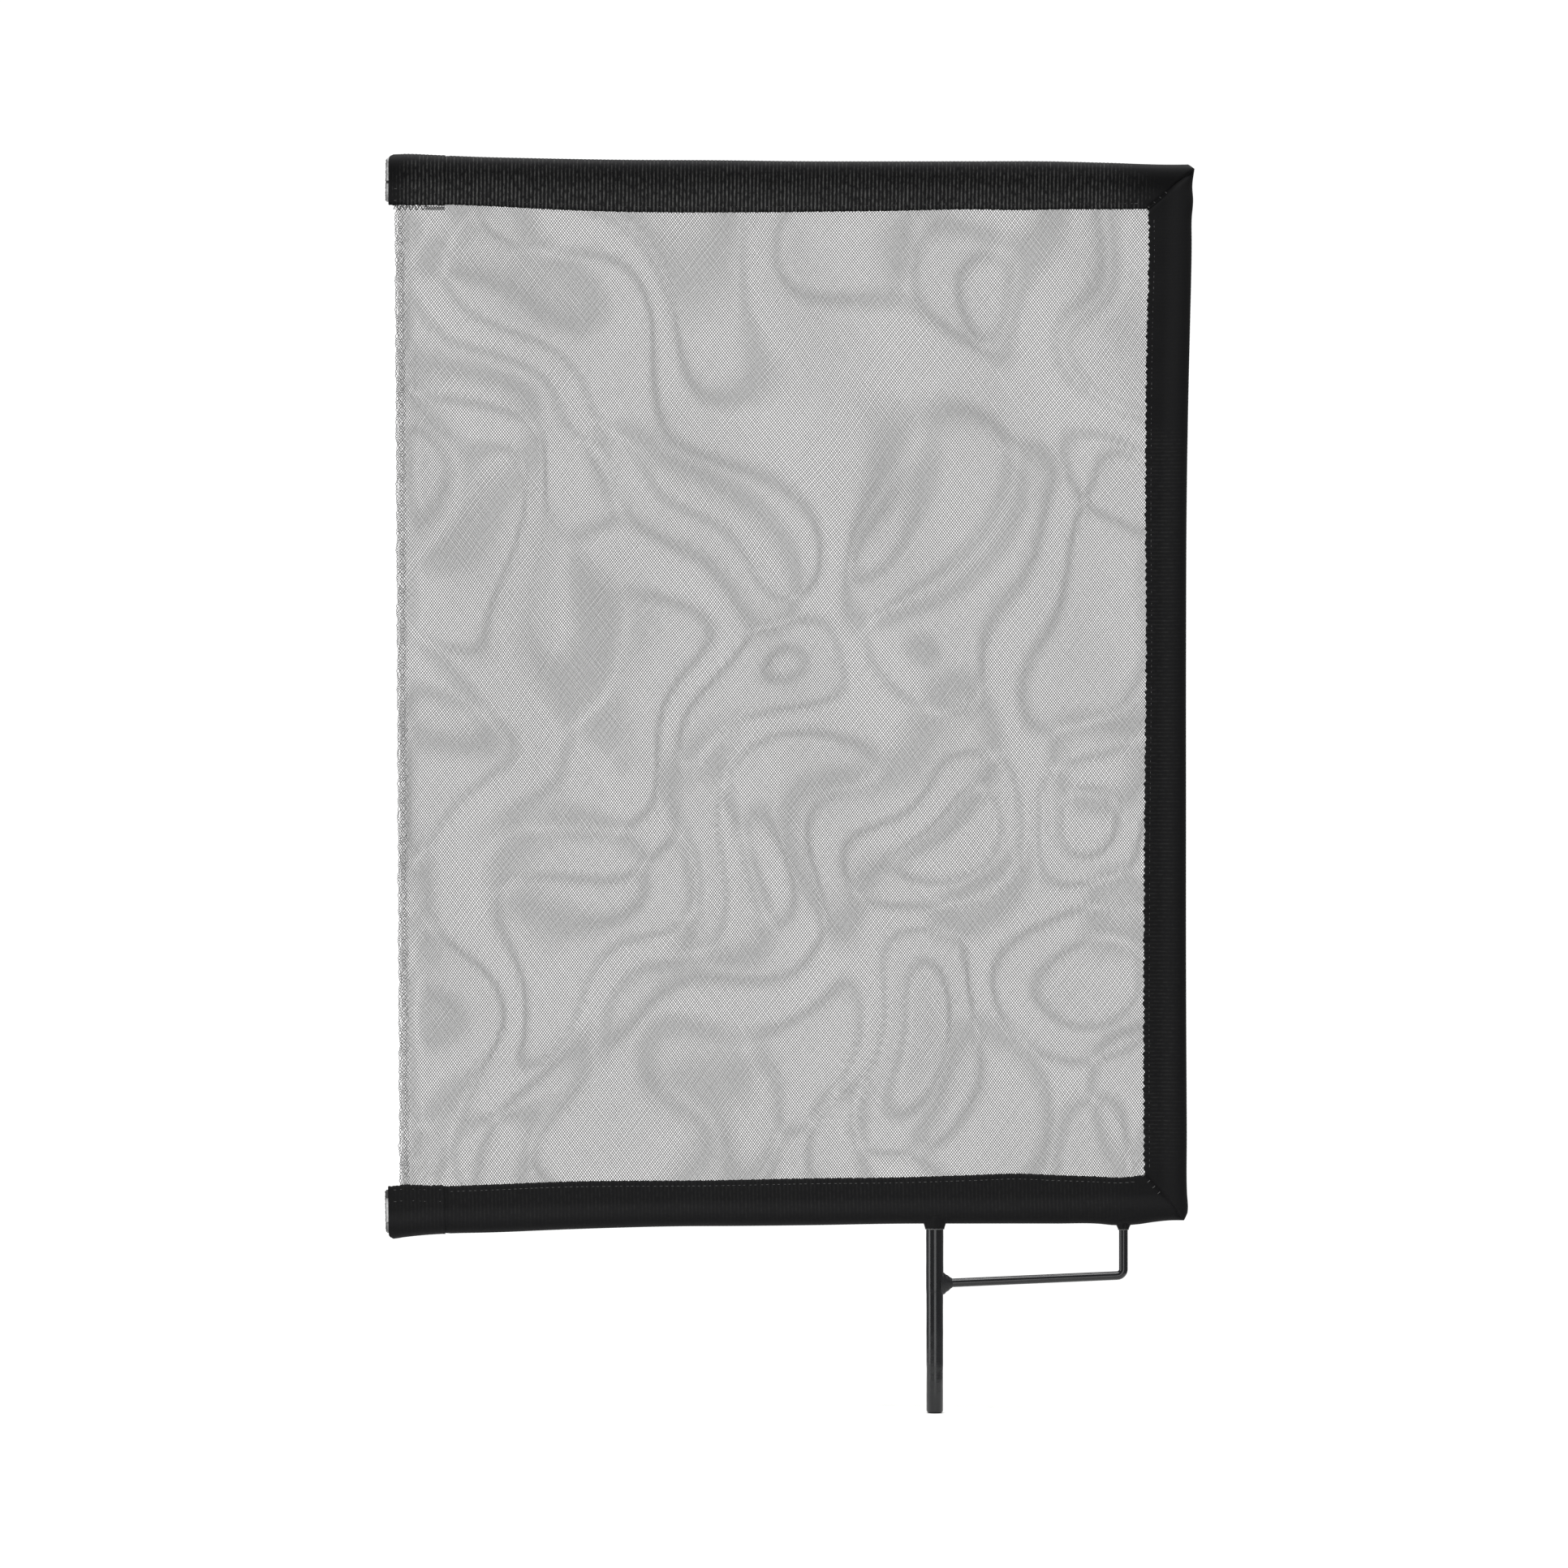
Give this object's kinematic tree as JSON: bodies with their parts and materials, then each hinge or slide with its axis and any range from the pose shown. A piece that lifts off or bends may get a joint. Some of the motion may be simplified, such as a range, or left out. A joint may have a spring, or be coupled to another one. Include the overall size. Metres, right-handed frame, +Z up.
{
  "type": "open-end net scrim",
  "caption": "Open-ended rod frame in black binding tape, holding two layers of net that soften a lamp's light, with a braced round mounting pin.",
  "frame": {"origin": "on the mounting pin's axis, half way along its free shank", "axes": "+Z up along the pin towards the frame, +X towards the closed side bar, front face towards -Y"},
  "size_m": [0.4594, 0.0144, 0.7174],
  "materials": {
    "frame_steel": "black powder-coated steel rod",
    "weld_bead": "weld bead under the same black coating",
    "binding_tape": "black cross-ribbed woven tape",
    "tape_end": "heat-cut end of the tape, greyed",
    "net": "open lozenge-mesh net of dark thread",
    "net_hem": "looped hem thread over the net's open edge",
    "sewing_thread": "black sewing thread"
  },
  "bodies": {
    "root": {"frame_rod_top": "frame_steel", "frame_rod_side": "frame_steel", "frame_rod_bottom": "frame_steel", "corner_weld_top": "weld_bead", "corner_weld_bottom": "weld_bead", "mounting_pin": "frame_steel", "pin_weld": "weld_bead", "brace_rod": "frame_steel", "brace_pin_weld": "weld_bead", "brace_frame_weld": "weld_bead", "binding_top": "binding_tape", "binding_side": "binding_tape", "binding_bottom": "binding_tape", "tape_tab_top": "binding_tape", "tape_tab_bottom": "binding_tape", "end_strip_top": "tape_end", "end_strip_bottom": "tape_end", "net_front": "net", "net_back": "net", "open_edge_hem": "net_hem", "stitching_top": "sewing_thread", "stitching_side": "sewing_thread", "stitching_bottom": "sewing_thread", "tab_stitching_top": "sewing_thread", "tab_stitching_bottom": "sewing_thread", "mitre_seam_top": "sewing_thread", "mitre_seam_bottom": "sewing_thread", "pin_opening_seam": "sewing_thread", "brace_opening_seam": "sewing_thread"}
  },
  "joints": []
}
